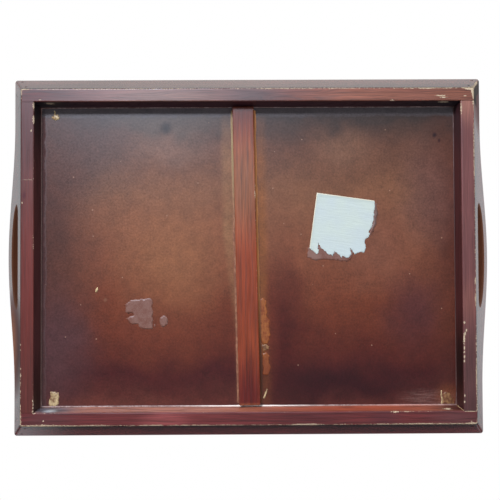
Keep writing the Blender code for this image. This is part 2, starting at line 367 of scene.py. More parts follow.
def hole_distance(add, x, y, z):
    """Distance to the hand hole's outline, measured up the leaning board, and depth into the board."""
    out = add("Math", add("Math", x, operation="ABSOLUTE"), foot_half_length, operation="SUBTRACT")
    lean = (math.sin(wall_lean), 0, math.cos(wall_lean))
    inwards = (-math.cos(wall_lean), 0, math.sin(wall_lean))
    place = add("CombineXYZ", out, 0, z)
    up = add("VectorMath", place, lean, operation="DOT_PRODUCT", out="Value")
    depth = add("VectorMath", place, inwards, operation="DOT_PRODUCT", out="Value")
    far_y = add("Math", y, operation="ABSOLUTE")
    spring = hole_bottom + hole_corner
    beside = add("Math", add("Math", far_y, hole_half_length - hole_corner, operation="SUBTRACT"), 0.0,
                 operation="MAXIMUM")
    under = add("Math", add("Math", spring, up, operation="SUBTRACT"), 0.0, operation="MAXIMUM")
    low_part = add("Math", apart(add, beside, under), hole_corner, operation="SUBTRACT")
    over = add("Math", add("Math", up, spring, operation="SUBTRACT"), hole_top - spring, operation="DIVIDE")
    high_part = apart(add, add("Math", far_y, hole_half_length, operation="DIVIDE"), over)
    high_part = add("Math", add("Math", high_part, 1.0, operation="SUBTRACT"), hole_mean_radius,
                    operation="MULTIPLY")
    is_high = add("Math", up, spring, operation="GREATER_THAN")
    return add("Mix", into={0: is_high, 2: low_part, 3: high_part}), depth


def hole_cut_face(add, x, y, z):
    """Where the hand hole's own sawn and rounded face is."""
    return add("MapRange", hole_distance(add, x, y, z)[0], 3.0, 1.6, 0, 1)


def arris_distance_of(side, outer_worn, inner_worn, rim_worn=0.2, hole_worn=0.6):
    """Distance in millimetres to the nearest arris of a board, less how far each kind is worn."""
    def build(add, x, y, z):
        out_x, past_x = past_outline(add, x, foot_half_length, z)
        out_y, past_y = past_outline(add, y, foot_half_depth, z)
        past_foot = add("Math", out_x, out_y, operation="MAXIMUM")
        past_recess = add("Math", past_foot, board_run)
        edges = [(apart(add, past_foot, z), outer_worn), (apart(add, past_recess, z), inner_worn),
                 (apart(add, past_x, past_y), rim_worn)]
        rim = rim_level
        if side == "Y":
            far_y = add("Math", y, operation="ABSOLUTE")
            swing = add("Math", far_y, math.pi / arch_half_width, operation="MULTIPLY")
            swing = add("Math", swing, operation="COSINE")
            arch = add("Math", add("Math", swing, 1.0), arch_rise / 2, operation="MULTIPLY")
            under_arch = add("Math", far_y, arch_half_width, operation="LESS_THAN")
            rim = add("Math", add("Math", arch, under_arch, operation="MULTIPLY"), rim_level)
            gap, depth = hole_distance(add, x, y, z)
            gap = add("Math", gap, 1.2, operation="SUBTRACT")
            past_hole = add("Math", board_thickness, depth, operation="SUBTRACT")
            less_above = add("MapRange", z, hole_bottom - 4, hole_bottom + 6, hole_worn, -hole_worn)
            edges += [(apart(add, gap, depth), less_above), (apart(add, gap, past_hole), less_above)]
        below_rim = add("Math", rim, z, operation="SUBTRACT")
        outer = past_y if side == "X" else past_x
        inner = add("Math", outer, board_run)
        edges += [(apart(add, outer, below_rim), rim_worn), (apart(add, inner, below_rim), rim_worn)]
        nearest, *others = [add("Math", edge, worn, operation="SUBTRACT") for edge, worn in edges]
        for other in others:
            nearest = add("Math", nearest, other, operation="MINIMUM")
        return nearest
    return build


def finish_solid(node_name, material):
    """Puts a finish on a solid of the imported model."""
    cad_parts[node_name].material_slots[0].material = material


def bare_right_end(add, x, y, z):
    """The front board's sawn right end, which is nearly black and dull."""
    is_end = add("MapRange", past_outline(add, x, foot_half_length, z)[1], -0.7, -0.2, 0, 1)
    return add("Math", is_end, add("Math", x, 0.0, operation="GREATER_THAN"), operation="MULTIPLY")


# Front board: the lightest, pink-brown, with wavy rings that show in its foot
finish_solid("front_wall", stained_pine(
    "stained_pine_front_wall", "X", 1, srgb("5e3632"), srgb("6e423e"),
    [((-78, -153, 0), (95, 14, 8), "6c4e46", 1.0), ((118, -153, 0), (110, 14, 8), "845040", 1.0),
     ((5, -153, 0), (40, 14, 8), "543e40", 0.9), ((-190, -153, 0), (60, 14, 8), "46221e", 0.9),
     ((196, -153, 0), (44, 14, 8), "84503f", 0.8), ((-206, -153, 0), (34, 14, 8), "4a1612", 1.0)],
    arris_distance_of("X", 0.45, -0.75),
    [((216, -160, 0), 13, 2.3), ((225, -169, 18), 19, 1.9), ((185, -160, 0), 50, 0.15),
     ((55, -160, 0), 70, 0.45), ((-130, -160, 0), 60, 0.45), ((-214, -160, 0), 8, 0.8),
     ((138, -147.6, 0), 6, 1.3), ((170, -148, 0), 40, 0.5), ((-35.8, -148, 0), 5, 1.0)],
    [((184.2, -152.3, 0), (5.4, 0.5, 2)), ((187.0, -150.6, 0), (2.8, 0.6, 2)),
     ((187.6, -147.2, 3.4), (4.4, 3, 2.2)), ((-189.4, -147.0, 4.4), (4.4, 3, 2.0)),
     ((208, -152.0, 0), (1.5, 0.35, 2)), ((-198, -149.4, 0), (1.4, 0.25, 2))],
    ("4e2e36", [((-204, -147, 6), (60, 8, 20), "302c32", 1.0),
                ((204, -147, 6), (80, 8, 20), "302830", 1.0)]),
    ring=2.0, lines=0.34, fibres=0.3, wave=34.0, end_face=bare_right_end))

# Back board: dark plum red. The paler orange inside its recess is painted light, where light falls
# on its foot, and the pale bluish spot near the recess's left end is a painted glint.
finish_solid("back_wall", stained_pine(
    "stained_pine_back_wall", "X", 2, srgb("5b2326"), srgb("692b2d"),
    [((-80, 154, 0), (34, 12, 6), "864244", 0.9), ((60, 154, 0), (50, 12, 6), "502024", 0.8),
     ((128, 154, 0), (24, 12, 6), "4a2028", 0.7), ((200, 154, 0), (44, 12, 6), "5c3438", 0.8),
     ((-190, 154, 0), (40, 12, 6), "583034", 0.8)],
    arris_distance_of("X", 0.6, -0.65),
    [((-200, 160, 0), 28, 0.8), ((-160, 160, 0), 40, 0.5), ((-93, 160, 0), 16, 0.7),
     ((-40, 160, 0), 30, 0.5), ((52, 160, 0), 20, 0.7), ((211, 161, 0), 7, 0.8), ((217.5, 151, 0), 8, -1.5),
     ((34, 147.6, 0), 5, 1.2), ((97, 147.6, 0), 5, 1.2), ((170, 160, 0), 60, 0.7),
     ((137, 147.6, 0), 6, 1.4), ((146, 147.6, 0), 10, 0.8), ((-203, 147.6, 0), 2.5, 1.1)],
    [((189.4, 146.8, 5.2), (3.6, 3, 1.9)), ((209.8, 147.9, 0), (6.4, 0.28, 2)),
     ((-194, 155, 0), (0.7, 0.6, 2)), ((210.4, 157.4, 0), (0.6, 0.5, 2))],
    ("9a6454", [((100, 146.4, 8), (150, 8, 18), "9c4c36", 1.0),
                ((-192, 146.4, 8), (40, 8, 18), "585460", 1.0),
                ((204, 146.4, 8), (44, 8, 18), "48201c", 1.0),
                ((-189, 146.4, 5), (10, 8, 5), "b0b8c4", 1.0)]),
    lines=0.34, fibres=0.24))

# Left end board: plum at the front, redder behind, with a dark spot and chips on the foot's arrises.
# The brown patch on its outer face behind the hand hole, where the lacquer is dull, is a painted
# reflection.
finish_solid("left_end_wall", stained_pine(
    "stained_pine_left_end_wall", "Y", 3, srgb("522421"), srgb("5e2a26"),
    [((-210, -130, 0), (14, 70, 6), "4a1c1a", 0.9), ((-210, 20, 0), (14, 120, 6), "6a2822", 0.9),
     ((-212.7, -58.5, 0), (2.6, 5.4, 3), "4c0a16", 1.0), ((-219.5, 0, 7), (5, 60, 6), "c49a88", 0.6),
     ((-244, 90, 46), (27, 52, 70), "96542a", 0.9)],
    arris_distance_of("Y", -0.5, -0.55),
    [((-203.6, -144, 0), 8, 1.9), ((-203.6, -131, 0), 7, 1.9), ((-203.6, -14, 0), 14, 1.1),
     ((-203.6, -84, 0), 26, 0.7), ((-203.6, 140, 0), 8, 0.5), ((-216, 130, 0), 40, 0.85),
     ((-216, 150, 0), 10, 0.4), ((-216, -158, 0), 9, 1.0), ((-203.6, 147, 0), 2.5, 0.8)],
    [((-216, 83, 0), (0.7, 0.8, 2)), ((-216, 88, 0), (0.6, 0.7, 2)), ((-216, 105.7, 0), (0.9, 1.1, 2)),
     ((-216, 111.8, 0), (1.0, 1.8, 2)), ((-216, 119, 0), (0.7, 0.9, 2)), ((-216, 127, 0), (0.7, 0.9, 2)),
     ((-216, 133, 0), (0.7, 0.8, 2)), ((-216, 140.4, 0), (0.9, 1.2, 2)),
     ((-214.5, -51.2, 0), (0.5, 0.8, 2)), ((-206, -120, 0), (0.5, 0.8, 2)),
     ((-210, -73.2, 0), (5.0, 0.10, 2))],
    ("563032", [((-203, -140, 6), (8, 60, 20), "221a1e", 1.0),
                ((-203, 140, 6), (8, 60, 20), "3a2220", 1.0)]),
    lines=0.2, hole=hole_cut_face, dull=[((-238, 86, 36), (44, 58, 80))]))

# Right end board: pinker at the front, with the outer arris of its foot worn along its whole length.
# The near-black patch on its outer face at the front corner, where the lacquer is dull, is painted
# shade.
finish_solid("right_end_wall", stained_pine(
    "stained_pine_right_end_wall", "Y", 4, srgb("663d3f"), srgb("744647"),
    [((210, -150, 0), (14, 34, 6), "9a6a60", 0.8), ((210, 45, 0), (14, 30, 6), "7e4e48", 0.7),
     ((210, 110, 0), (14, 80, 6), "4e3032", 0.9), ((210, 146, 0), (14, 24, 6), "482a2c", 0.9),
     ((219.5, 0, 7), (5, 60, 6), "b08a7a", 0.6), ((243, -172, 40), (26, 66, 70), "22181a", 0.9)],
    arris_distance_of("Y", 0.4, -0.75),
    [((216, -150, 0), 12, 1.2), ((216, -100, 0), 40, 0.4), ((216, 25, 0), 4, 1.0), ((216, 42, 0), 7, 0.9),
     ((216, 120, 0), 40, 0.5), ((216, 152, 0), 9, 0.4), ((203.6, -139, 0), 10, 1.8)],
    [((204.3, 133.2, 0), (0.5, 1.3, 2)), ((204.1, 138.8, 0), (0.5, 1.4, 2)),
     ((204.5, 64.0, 0), (0.8, 1.6, 2)), ((206.3, 71.6, 0), (0.7, 1.2, 2)),
     ((205.3, 74.4, 0), (0.7, 1.5, 2)), ((204.3, 79.6, 0), (0.75, 4.6, 2)),
     ((204.4, 88.2, 0), (0.7, 1.2, 2)), ((204.3, 92.0, 0), (0.6, 1.0, 2)),
     ((204.3, 96.4, 0), (0.7, 1.6, 2)), ((204.2, 100.6, 0), (0.6, 1.0, 2))],
    ("442022", [((202.5, 104, 8), (8, 60, 20), "20100e", 1.0),
                ((202.5, -140, 8), (8, 60, 20), "301a20", 0.8)]),
    lines=0.2, hole=hole_cut_face, dull=[((238, -168, 36), (44, 52, 80))]))


# Cross batten: a straight-grained pine strip, orange-brown in the middle and darker at both ends,
# glued on flat. Its lower arrises are rubbed.
batten_half_width = 10.25
batten_middle = -2.24
batten_slope = 0.0192
batten_face = 9.0


def off_batten(add, x, y):
    """Distance across the batten from its middle line, which runs slightly askew."""
    line = add("Math", add("Math", y, batten_slope, operation="MULTIPLY"), batten_middle)
    return add("Math", x, line, operation="SUBTRACT")


def batten_arris_distance(add, x, y, z):
    """Distance in millimetres to the batten's two lower arrises."""
    beside = add("Math", add("Math", off_batten(add, x, y), operation="ABSOLUTE"), batten_half_width,
                 operation="SUBTRACT")
    below = add("Math", z, batten_face, operation="SUBTRACT")
    return add("Math", apart(add, beside, below), -0.3, operation="SUBTRACT")


finish_solid("cross_batten", stained_pine(
    "stained_pine_batten", "Y", 5, srgb("7f3110"), srgb("8d3b14"),
    [((-4, -70, 9), (30, 75, 40), "855034", 1.0), ((-5, -150, 9), (30, 50, 40), "501a0a", 1.0),
     ((0, 138, 9), (30, 66, 40), "5a120c", 1.0), ((1, 144, 9), (30, 4, 40), "9a5a34", 0.6)],
    batten_arris_distance, [((4, -60, 9), 8, 0.9), ((5, 96, 9), 6, 1.0)],
    ring=2.6, lines=0.24, fibres=0.36, wave=7.0))


# Panel: smooth hardboard. The stain was sprayed on: amber in the middle of each bay and dark plum
# towards the edges, with ochre bands where it ran thin beside the batten. The inside is even.
panel_under = 14.8
sprayed_depth = 1.07
scuff_middle = (174, 139, panel_under)
scuff_reach = (34, 11, 50)

panel_finish, add = new_material("stained_hardboard")
point, (x, y, z) = position_mm(add)
drift = add("TexNoise", point, into={"Scale": 0.03, "Detail": 3.0}, out="Color")
drift = add("VectorMath", add("VectorMath", drift, (0.5, 0.5, 0.5), operation="SUBTRACT"), (34, 34, 0),
            operation="MULTIPLY")
drifted = add("VectorMath", point, drift)
down_panel = add("MapRange", add("SeparateXYZ", drifted, out="Y"), -150, 150, 0, 1)
stain = add("ValToRGB", down_panel, stops=[
    (0.06, srgb("3a2c28")), (0.15, srgb("623f30")), (0.30, srgb("7c523a")), (0.48, srgb("7e4a32")),
    (0.67, srgb("6c321a")), (0.80, srgb("571f13")), (0.88, srgb("461214")), (0.97, srgb("562620"))])
stain = clouded(add, stain, drifted, [
    ((-80, -128, 15), (90, 16, 90), "524640", 0.7),
    ((-80, -106, 15), (64, 24, 90), "8c6e62", 0.36),
    ((-160, -100, 15), (66, 66, 90), "46383a", 0.55),
    ((-200, -30, 15), (78, 190, 90), "4e2a22", 0.95),
    ((-196, 90, 15), (74, 90, 90), "523338", 0.9),
    ((-75, 0, 15), (75, 90, 90), "8c5c3e", 0.8),
    ((-80, 75, 15), (90, 50, 90), "723822", 0.6),
    ((200, -20, 15), (46, 170, 90), "56281a", 0.95),
    ((175, -60, 15), (44, 80, 90), "6a4844", 0.6),
    ((125, -10, 15), (50, 60, 90), "7a4c3c", 0.6),
    ((94, -105, 15), (46, 28, 90), "84604c", 0.5),
    ((158, 52, 15), (44, 56, 90), "4a242c", 0.7),
    ((35, 76, 15), (30, 112, 90), "480f0c", 0.8),
    ((90, 126, 15), (120, 26, 90), "340810", 1.0),
    ((44, 142, 15), (30, 16, 90), "360c10", 0.7),
    ((200, 120, 15), (36, 60, 90), "4a1e18", 0.8),
    ((-120, 142, 15), (90, 14, 90), "64342c", 0.6),
])
beside = off_batten(add, x, y)
band_edge = add("MapRange", y, -20, 70, -25, -15)
into_band = add("Math", beside, band_edge, operation="SUBTRACT")
far_y = add("Math", y, operation="ABSOLUTE")
left_band = (add("MapRange", into_band, 0, 7, 0, 1, **smoothly), add("MapRange", y, 90, -10, 0.35, 0.8),
             add("Math", beside, 0.0, operation="LESS_THAN"), add("MapRange", y, -140, -95, 0.1, 1.0))
right_band = (add("MapRange", beside, 25, 16, 0, 0.7, **smoothly),
              add("Math", beside, 0.0, operation="GREATER_THAN"),
              add("MapRange", far_y, 150, 80, 0.15, 1.0))
uneven = add("MapRange", add("TexNoise", point, into={"Scale": 0.06, "Detail": 3.0}), 0.3, 0.6, 0.45, 1.0)
for (thin, *factors), ochre in ((left_band, "8c6648"), (right_band, "8a5424")):
    for factor in (*factors, uneven):
        thin = add("Math", thin, factor, operation="MULTIPLY")
    stain = add("Mix", into={0: thin, 6: stain, 7: srgb(ochre)}, **colours)
stain = clouded(add, stain, point, [
    ((22, 66, 15), (12, 84, 40), "662a18", 0.6),
    ((193, 136, 15), (18, 16, 40), "7a4224", 0.7),
    ((-79.8, -125.3, 15), (8.5, 10.0, 40), "20100a", 1.0),
    ((182.5, -117.5, 15), (3.2, 4.0, 40), "2a0c12", 1.0),
    ((187.0, -112.0, 15), (2.0, 3.0, 40), "340f14", 0.9),
    ((-139.0, 42.0, 15), (2.5, 3.0, 40), "8a6450", 0.5),
])
stain = add("Gamma", stain, sprayed_depth)
scratches = stretched_noise(add, point, (0.07, 1.3, 1), 3.0, 0.6)
scuffed = add("MapRange", share_of_reach(add, point, scuff_middle, scuff_reach), 1.0, 0.3, 0, 1)
scuffed = add("Math", scuffed, add("MapRange", scratches, 0.46, 0.66, 0.12, 1.0), operation="MULTIPLY")
scuffed = add("Math", scuffed, 0.55, operation="MULTIPLY")
stain = add("Mix", into={0: scuffed, 6: stain, 7: srgb("8a6a66")}, **colours)
blotch = add("MapRange", add("TexNoise", point, into={"Scale": 0.10, "Detail": 4.0, "Roughness": 0.6}),
             0.3, 0.7, -0.16, 0.16)
speck = add("TexNoise", point, into={"Scale": 0.55, "Detail": 3.0, "Roughness": 0.7})
shade = add("Math", add("Math", blotch, 1.0), add("MapRange", speck, 0.3, 0.7, -0.22, 0.22))
# Painted shadow: a dark strip along the panel's left edge, beside the left board's recess, where that
# board's shadow falls. The lacquer there is rougher.
painted_shading = add("Math", x, add("MapRange", blotch, -0.1, 0.1, -0.8, 0.8))
painted_shading = add("MapRange", painted_shading, -196.0, -198.4, 0, 1)
stain = add("Mix", into={0: painted_shading, 6: stain, 7: srgb("4e2420")}, **colours)
# Painted light: a pale grey strip along the panel's front edge lightens the shadow that the front board
# casts there.
painted_shadow_fill = add("Math", y, add("MapRange", blotch, -0.1, 0.1, -1, 1))
painted_shadow_fill = add("MapRange", painted_shadow_fill, -135, -138, 0, 1)
stain = add("Mix", into={0: painted_shadow_fill, 6: stain, 7: srgb("524a50")}, **colours)
stain = shaded(add, stain, shade)
nick = add("TexVoronoi", point, into={"Scale": 0.055}, out="Distance")
nick = add("MapRange", nick, 0.045, 0.02, 0, 0.55)
stain = add("Mix", into={0: nick, 6: stain, 7: srgb("b48c76")}, **colours)
inside_cloud = add("TexNoise", point, into={"Scale": 0.014, "Detail": 3.0})
inside_cloud = add("MapRange", inside_cloud, 0.35, 0.65, 0, 1)
inside = add("Mix", into={0: inside_cloud, 6: srgb("5a2c28"), 7: srgb("70402e")}, **colours)
inside = shaded(add, inside, shade)
is_inside = add("Math", z, panel_under + 2, operation="GREATER_THAN")
colour = add("Mix", into={0: is_inside, 6: stain, 7: inside}, **colours)
gloss = add("MapRange", speck, 0.3, 0.7, 0.32, 0.40)
gloss = add("Math", gloss, add("Math", nick, 0.4, operation="MULTIPLY"))
gloss = add("Mix", into={0: painted_shading, 2: gloss, 3: 0.9})
bumpy_surface(add, colour, gloss, speck, 0.25, 0.06)
finish_solid("base_panel", panel_finish)


# Paper label: the corner that is left of a plain white paper label, with two cut edges and two torn
# ones. The paper has split along the tear, and its cut edges have lifted a little from the panel.
label_corner = Vector((67.0, -61.3))
label_turn = math.radians(8)
label_outline = [
    (0, 0), (56.4, 0), (57.4, 2.8), (58.0, 6.7), (57.5, 9.9), (58.5, 13.1), (58.2, 17.7), (58.0, 23.6),
    (56.8, 27.0), (55.2, 29.8), (56.7, 33.1), (55.9, 35.5), (53.4, 38.2), (52.7, 40.9), (53.5, 43.4),
    (54.5, 46.2), (54.1, 49.7), (53.0, 51.9), (50.0, 51.7), (46.5, 53.4), (44.9, 54.8), (42.6, 52.6),
    (40.0, 49.2), (40.3, 52.3), (41.4, 55.0), (40.2, 56.9), (37.9, 58.8), (35.3, 58.4), (33.1, 57.2),
    (32.5, 59.6), (30.6, 57.7), (27.3, 55.6), (24.5, 54.0), (24.6, 56.5), (23.7, 58.9), (21.7, 57.6),
    (19.8, 58.3), (16.8, 55.9), (13.7, 53.8), (10.4, 51.5), (8.8, 50.0), (7.0, 47.4), (8.2, 51.5),
    (9.4, 54.9), (9.3, 57.8), (8.0, 59.5), (5.8, 57.9), (2.9, 56.0), (0.1, 54.4)]
cut_corners = 2
paper_raggedness = 0.2
paper_thickness = 0.12
paper_gap = 0.09
wave_height = 0.05
edge_lift = 0.5
edge_reach = 4
tip_lift = 0.35
tips_from = 46
tips_reach = 14
glued_gap = 0.01


def torn(outline, first, amount, seed, rounds=3):
    """The outline with every stretch from the given corner on broken up into a ragged line."""
    chance = random.Random(seed)
    points = [(Vector(corner), place >= first - 1) for place, corner in enumerate(outline)]
    points[-1] = (points[-1][0], first == 0)
    for _ in range(rounds):
        finer = []
        for place, (here, ragged) in enumerate(points):
            finer.append((here, ragged))
            if ragged:
                there = points[(place + 1) % len(points)][0]
                along = there - here
                across = Vector((-along.y, along.x)) * chance.uniform(-amount, amount)
                finer.append((here + along * chance.uniform(0.4, 0.6) + across, True))
        points = finer
    return [point for point, _ in points]


def film(name, outline, spacing, visible_side, glued_side, material):
    """A closed thin piece on the panel's underside, from its outline in millimetres.

    The two functions give how far below the panel each side lies, from a place and its distance
    to the outline. Triangles between a honeycomb of inner points let both sides curve.
    """
    closing = list(zip(outline, outline[1:] + outline[:1]))

    def from_outline(place):
        squares = []
        for start, end in closing:
            side = end - start
            share = min(1, max(0, (place - start).dot(side) / max(side.length_squared, 1e-9)))
            squares.append((place - start - side * share).length_squared)
        return math.sqrt(min(squares))

    def is_within(place):
        crossings = sum(
            (start.y > place.y) != (end.y > place.y)
            and place.x < start.x + (place.y - start.y) * (end.x - start.x) / (end.y - start.y)
            for start, end in closing)
        return crossings % 2 == 1

    low_x, high_x = min(p.x for p in outline), max(p.x for p in outline)
    low_y, high_y = min(p.y for p in outline), max(p.y for p in outline)
    within = []
    for row in range(1, int((high_y - low_y) / spacing) + 1):
        for step in range(1, int((high_x - low_x) / spacing) + 1):
            place = Vector((low_x + (step - 0.5 * (row % 2)) * spacing, low_y + row * spacing))
            if is_within(place) and from_outline(place) > spacing * 0.4:
                within.append(place)
    flat = geometry.delaunay_2d_cdt(list(outline) + within, [], [list(range(len(outline)))], 1, 1e-6)
    places, _, triangles = flat[:3]
    far = [from_outline(place) for place in places]
    count = len(places)
    points = [(p.x * mm, p.y * mm, (panel_under - visible_side(p, d)) * mm) for p, d in zip(places, far)]
    points += [(p.x * mm, p.y * mm, (panel_under - glued_side(p, d)) * mm) for p, d in zip(places, far)]
    faces = []
    for triangle in triangles:
        a, b, c = (places[i] for i in triangle)
        if (b - a).cross(c - a) > 0:
            triangle = triangle[::-1]
        faces += [tuple(triangle), tuple(i + count for i in reversed(triangle))]
    edges = [edge for triangle in faces[::2] for edge in zip(triangle, triangle[1:] + triangle[:1])]
    reverse = {(end, start) for start, end in edges}
    faces += [(end, start, start + count, end + count) for start, end in edges
              if (start, end) not in reverse]
    made = mesh_object(name, points, faces, material)
    for face in made.data.polygons:
        face.use_smooth = face.index % 2 == 0 and face.index < 2 * len(triangles)
    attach(made, "root")
    return made


label_paper, add = new_material("label_paper")
point, (x, y, z) = position_mm(add)
from_corner = add("VectorMath", point, (*label_corner, 0), operation="SUBTRACT")
across = add("VectorMath", from_corner, (math.cos(label_turn), math.sin(label_turn), 0),
             operation="DOT_PRODUCT", out="Value")
down = add("VectorMath", from_corner, (-math.sin(label_turn), math.cos(label_turn), 0),
           operation="DOT_PRODUCT", out="Value")
pulp = add("TexNoise", point, into={"Scale": 1.4, "Detail": 4.0, "Roughness": 0.7})
ageing = add("MapRange", add("TexNoise", point, into={"Scale": 0.05, "Detail": 2.0}), 0.35, 0.65, 0, 1)
white = add("Mix", into={0: ageing, 6: srgb("c0d0d8"), 7: srgb("c4d4d5")}, **colours)
# Painted highlight: a cream band along the two cut edges, where the lifted edges catch the light.
painted_edge_highlight = add("MapRange", add("Math", across, down, operation="MINIMUM"), 1.2, 0.2, 0, 0.75)
white = add("Mix", into={0: painted_edge_highlight, 6: white, 7: srgb("e6dcc4")}, **colours)
torn_far = add("Math", add("Math", add("Math", across, 0.35, operation="MULTIPLY"), down),
               add("MapRange", pulp, 0.3, 0.7, -5, 5))
split = add("MapRange", torn_far, 56, 68, 0, 0.7)
white = add("Mix", into={0: split, 6: white, 7: srgb("c0d2dc")}, **colours)
white = shaded(add, white, add("MapRange", pulp, 0.3, 0.7, 0.95, 1.04))
wrinkle = stretched_noise(add, add("CombineXYZ", across, down, 0.0), (0.06, 0.55, 0), 2.0)
height = add("Math", wrinkle, add("Math", pulp, 0.25, operation="MULTIPLY"))
bumpy_surface(add, white, 0.85, height, 0.5, 0.5)


def label_lift(place, far):
    """How far the paper stands off the panel: slight waves, and lifted cut edges and finger tips."""
    own = Matrix.Rotation(-label_turn, 2) @ (place - label_corner)
    edge = max(0, 1 - min(own.x, own.y) / edge_reach) ** 2
    tips = max(0, (own.y - tips_from) / tips_reach) ** 2
    waves = wave_height * noise.noise(Vector((own.x * 0.05, own.y * 0.35, 3)))
    fingers = 0.6 + 0.4 * noise.noise(Vector((own.x * 0.3, 0, 7)))
    return paper_gap + waves + edge_lift * edge + tip_lift * tips * fingers


paper_outline = [label_corner + Matrix.Rotation(label_turn, 2) @ corner
                 for corner in torn(label_outline, cut_corners, paper_raggedness, 4)]
label = film("label_paper_remnant", paper_outline, 0.9,
             lambda place, far: label_lift(place, far) + paper_thickness * min(1, 0.35 + far / 1.5),
             label_lift, label_paper)
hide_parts("label_remnant")


# Label adhesive: a thin grey film that stayed on the panel, below the torn label and where two
# smaller labels were pulled off.
adhesive, add = new_material("dried_label_adhesive")
point, (x, y, z) = position_mm(add)
grains = add("TexNoise", point, into={"Scale": 0.9, "Detail": 4.0, "Roughness": 0.7})
patches = add("TexNoise", point, into={"Scale": 0.16, "Detail": 3.0})
cover = add("MapRange", add("Math", grains, patches), 0.8, 1.15, 0, 1)
film_colour = add("Mix", into={0: cover, 6: srgb("6e4236"), 7: srgb("7c5850")}, **colours)
film_colour = clouded(add, film_colour, point, [((125, -38, 15), (10, 26, 10), "6e5652", 0.9),
                                                ((64, 0, 15), (10, 9, 10), "86665f", 0.7)])
bumpy_surface(add, film_colour, 0.48, grains, 0.3, 0.05)

adhesive_thickness = 0.03
adhesive_raggedness = 0.12
least_film = 0.02
films = (
    ("adhesive_of_old_label", 11,
     [(-120, 47), (-117, 44), (-114, 42), (-108, 41.5), (-101.5, 41.5), (-98, 40.3), (-94.5, 41.2),
      (-93, 43.7), (-92.6, 53), (-92.6, 62), (-93, 70), (-97, 70.5), (-102.4, 70), (-106.3, 68.3),
      (-106.7, 66), (-108.4, 65.3), (-112, 66), (-115.4, 64.8), (-117.5, 61.8), (-119.3, 60),
      (-116, 58.5), (-111, 57), (-112, 54.8), (-117, 55.5), (-119.6, 54)]),
    ("adhesive_of_small_label", 12,
     [(-86.3, 61), (-85.6, 59), (-82.4, 57.2), (-79.4, 59), (-78, 62.8), (-78.6, 66.2), (-82, 68.4),
      (-84.7, 68.2), (-86.3, 64.5)]),
    ("adhesive_crumb", 13,
     [(-91.8, 65.8), (-90.4, 66.0), (-90.2, 67.8), (-91.6, 68.2)]),
    ("adhesive_below_label", 14,
     [(58, -8), (57.4, -2), (57.8, 1.8), (62, 3.6), (66.5, 4.8), (71, 3.6), (75.5, 3.8), (79, 4.4),
      (83.5, 4.4), (89, 5.4), (95, 5.8), (99, 4.4), (101.5, 1.6), (103, -3), (100, -8), (85, -8),
      (70, -9)]),
    # A grey strip beside the label's torn right edge, greyer than the film elsewhere.
    ("grey_film_beside_label", 15,
     [(121, -52), (125.8, -51), (126.4, -40), (125.2, -31), (122.2, -23), (118.6, -18), (121, -30),
      (122.8, -42)]),
)
for name, seed, outline in films:
    film(name, torn(outline, 0, adhesive_raggedness, seed), 1.6,
         lambda place, far: least_film + adhesive_thickness * min(1, far / 1.2),
         lambda place, far: glued_gap, adhesive)


# Glue: a bead where the panel meets the boards' feet, a fillet along each side of the batten, and
# drips, spills and smears near them, some of them wiped while wet.
def dried_glue(name, dark, light, roughness, clouds=()):
    """Bone glue, dried hard: yellowish and satin, and streaked by the wiping."""
    material, add = new_material(name)
    point, (x, y, z) = position_mm(add)
    streaks = stretched_noise(add, point, (0.9, 0.22, 0.5), 4.0, 0.65)
    lumps = add("TexNoise", point, into={"Scale": 0.25, "Detail": 2.0})
    share = add("MapRange", add("Math", streaks, lumps), 0.85, 1.15, 0, 1)
    colour = add("Mix", into={0: share, 6: srgb(dark), 7: srgb(light)}, **colours)
    colour = clouded(add, colour, point, clouds)
    bumpy_surface(add, colour, roughness, streaks, 0.5, 0.15)
    return material


pale_glue = dried_glue("dried_glue_pale", "8a6a44", "d8c49a", 0.5)
tan_glue = dried_glue("dried_glue_tan", "7c5e42", "c4b08a", 0.5)
amber_glue = dried_glue("dried_glue_amber", "7c3a12", "975723", 0.42,
                        [((17, 112, 15), (14, 24, 10), "7a3a18", 0.9)])
seam_glue = dried_glue("dried_glue_seam", "6c4c46", "a08a8a", 0.5,
                       [((205, 0, 14), (24, 420, 20), "3a1e1a", 1.0),
                        ((-205, 0, 14), (24, 420, 20), "7c5c54", 1.0),
                        ((0, 145, 14), (80, 12, 20), "e8e2e2", 1.0),
                        ((150, 145.4, 14), (64, 5, 20), "b0807a", 0.8)])
thin_glue = dried_glue("dried_glue_thin", "5e361c", "8e6844", 0.5)
# The right fillet lies in the batten's shadow: the bright orange along it is painted light that lifts it
# out of that shadow, and the darker brown towards the back is painted shade.
fillet_glue = dried_glue("dried_glue_fillet", "7c5040", "9c7058", 0.5,
                         [((-15, -110, 12), (20, 90, 20), "9a8666", 1.0),
                          ((9, 0, 12), (9, 900, 20), "cf8950", 1.0),
                          ((14, 115, 12), (24, 120, 30), "5c3018", 1.0)])


def domed(thickness, rounding):
    """A side that rises from the outline to its full thickness, with a slightly lumpy top."""
    def depth(place, far):
        rise = math.sqrt(1 - (1 - min(1, far / rounding)) ** 2)
        lumpy = 1 + 0.35 * noise.noise(Vector((place.x * 0.5, place.y * 0.5, 1)))
        return least_film + thickness * rise * lumpy
    return depth


